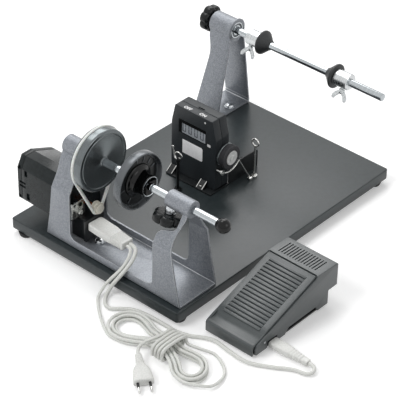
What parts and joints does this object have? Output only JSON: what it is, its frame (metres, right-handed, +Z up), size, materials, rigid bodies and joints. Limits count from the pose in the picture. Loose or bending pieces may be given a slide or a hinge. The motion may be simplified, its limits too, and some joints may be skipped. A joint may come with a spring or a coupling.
{
  "type": "line spooling machine",
  "caption": "Motorised bench machine on a board for winding line onto a spool, with a tailstock, line counter, bulk spool stand and foot pedal.",
  "frame": {"origin": "on the floor under the middle of the machine and its pedal, without the free cords", "axes": "+X along the spindle from the motor to the tailstock and pedal, +Y from the spindle to the bulk spool stand, +Z up"},
  "size_m": [0.5617, 0.6439, 0.2285],
  "materials": {
    "board": "satin black coated board",
    "rubber": "matte black",
    "hammertone": "silver grey hammertone paint",
    "steel": "zinc plated",
    "bronze": "turned",
    "dark_aluminium": "smooth dark grey gloss",
    "grey_plastic": "matte dark grey",
    "gloss_black": "polished black",
    "belt": "off white",
    "black_plastic": "fine grain black",
    "laminations": "laminated",
    "white_plastic": "smooth white",
    "nickel": "nickel plated",
    "chrome": "bright chrome",
    "display": "grey liquid crystal display",
    "circuit_board": "green board",
    "black_steel": "satin black",
    "aluminium": "turned",
    "tyre": "ground black rubber",
    "pedal_grey": "fine grain dark grey",
    "white_cord": "soft white sheath"
  },
  "bodies": {
    "machine": {"base_board": "board", "board_foot_front_left": "rubber", "board_foot_front_right": "rubber", "board_foot_rear_left": "rubber", "board_foot_rear_right": "rubber", "spindle_bracket": "hammertone", "supply_stand": "hammertone", "bracket_bolt": "steel", "stand_bolt": "steel", "head_bush": "bronze", "drive_belt": "belt", "motor_case": "black_plastic", "motor_end_cover": "black_plastic", "motor_stator": "laminations", "motor_mount": "nickel", "machine_socket": "black_plastic", "stand_bearing_left": "steel", "stand_bearing_right": "steel", "counter_front": "black_plastic", "counter_rear": "black_plastic", "counter_window": "display", "counter_board": "circuit_board", "counter_bracket": "black_steel", "line_guard": "nickel", "front_guide": "black_steel", "rear_guide": "chrome", "pedal_base": "black_plastic", "pedal_housing": "pedal_grey", "pedal_hinge_pin": "steel", "pedal_spring": "steel", "pedal_rheostat": "circuit_board", "machine_connector": "white_plastic", "mains_cord_drop": "white_cord", "mains_cord_hank": "white_cord", "mains_plug": "white_plastic", "pedal_cord": "white_cord", "pedal_connector": "white_plastic"},
    "spindle": {"drive_shaft": "steel", "drive_pulley": "dark_aluminium", "spool_disc": "grey_plastic", "disc_hub": "gloss_black"},
    "motor_shaft": {"motor_rotor": "laminations", "motor_pulley": "white_plastic"},
    "tailstock": {"tail_rod": "chrome", "ball_knob": "gloss_black"},
    "tail_centre": {"tail_nose": "chrome"},
    "clamp": {"clamp_knob": "black_plastic"},
    "supply_spindle": {"supply_rod": "chrome"},
    "brake": {"brake_knob": "black_plastic"},
    "holder_left": {"collar_left": "nickel", "cone_left": "black_plastic"},
    "holder_right": {"collar_right": "nickel", "cone_right": "black_plastic"},
    "wing_left": {"wing_screw_left": "nickel"},
    "wing_right": {"wing_screw_right": "nickel"},
    "measuring": {"measuring_wheel": "aluminium", "wheel_tyre": "tyre"},
    "switch": {"switch_slider": "white_plastic"},
    "pedal_treadle": {"treadle": "pedal_grey"}
  },
  "joints": [
    {"name": "spindle_spin", "type": "hinge", "parent": "machine", "child": "spindle", "pos_m": [-0.058, -0.2, 0.1765], "axis": [1, 0, 0], "continuous": true},
    {"name": "motor_spin", "type": "hinge", "parent": "machine", "child": "motor_shaft", "pos_m": [-0.176, -0.2, 0.0865], "axis": [1, 0, 0], "continuous": true},
    {"name": "tail_slide", "type": "slide", "parent": "machine", "child": "tailstock", "axis": [1, 0, 0], "range_m": [0, 0.07]},
    {"name": "tail_centre_spin", "type": "hinge", "parent": "tailstock", "child": "tail_centre", "pos_m": [0.013, -0.2, 0.1765], "axis": [1, 0, 0], "continuous": true},
    {"name": "clamp_turn", "type": "hinge", "parent": "machine", "child": "clamp", "pos_m": [0.058, -0.20751, 0.14849], "axis": [0, -0.2588, -0.9659], "range_deg": [0, 180]},
    {"name": "supply_spin", "type": "hinge", "parent": "machine", "child": "supply_spindle", "pos_m": [-0.058, 0.2075, 0.184], "axis": [1, 0, 0], "continuous": true},
    {"name": "brake_turn", "type": "hinge", "parent": "supply_spindle", "child": "brake", "pos_m": [-0.231, 0.2075, 0.184], "axis": [1, 0, 0], "range_deg": [-180, 180]},
    {"name": "holder_left_slide", "type": "slide", "parent": "supply_spindle", "child": "holder_left", "axis": [1, 0, 0], "range_m": [-0.018, 0.105]},
    {"name": "holder_right_slide", "type": "slide", "parent": "supply_spindle", "child": "holder_right", "axis": [1, 0, 0], "range_m": [-0.105, 0.055]},
    {"name": "wing_left_turn", "type": "hinge", "parent": "holder_left", "child": "wing_left", "pos_m": [-0.138, 0.2075, 0.184], "axis": [0, -0.5446, -0.8387], "range_deg": [-180, 180]},
    {"name": "wing_right_turn", "type": "hinge", "parent": "holder_right", "child": "wing_right", "pos_m": [0.049, 0.2075, 0.184], "axis": [0, -0.5446, -0.8387], "range_deg": [-180, 180]},
    {"name": "measuring_spin", "type": "hinge", "parent": "machine", "child": "measuring", "pos_m": [-0.047, 0.0345, 0.0875], "axis": [1, 0, 0], "continuous": true},
    {"name": "switch_slide", "type": "slide", "parent": "machine", "child": "switch", "axis": [1, 0, 0], "range_m": [0, 0.006]},
    {"name": "treadle_press", "type": "hinge", "parent": "machine", "child": "pedal_treadle", "pos_m": [0.192, -0.203, 0.0165], "axis": [-1, 0, 0], "range_deg": [0, 6], "stiffness_Nm_per_rad": 1, "springref_deg": -20.05, "deforming": ["pedal_spring"]}
  ],
  "couplings": [
    {"joint": "motor_spin", "follows": "spindle_spin", "ratio": 5.5}
  ]
}
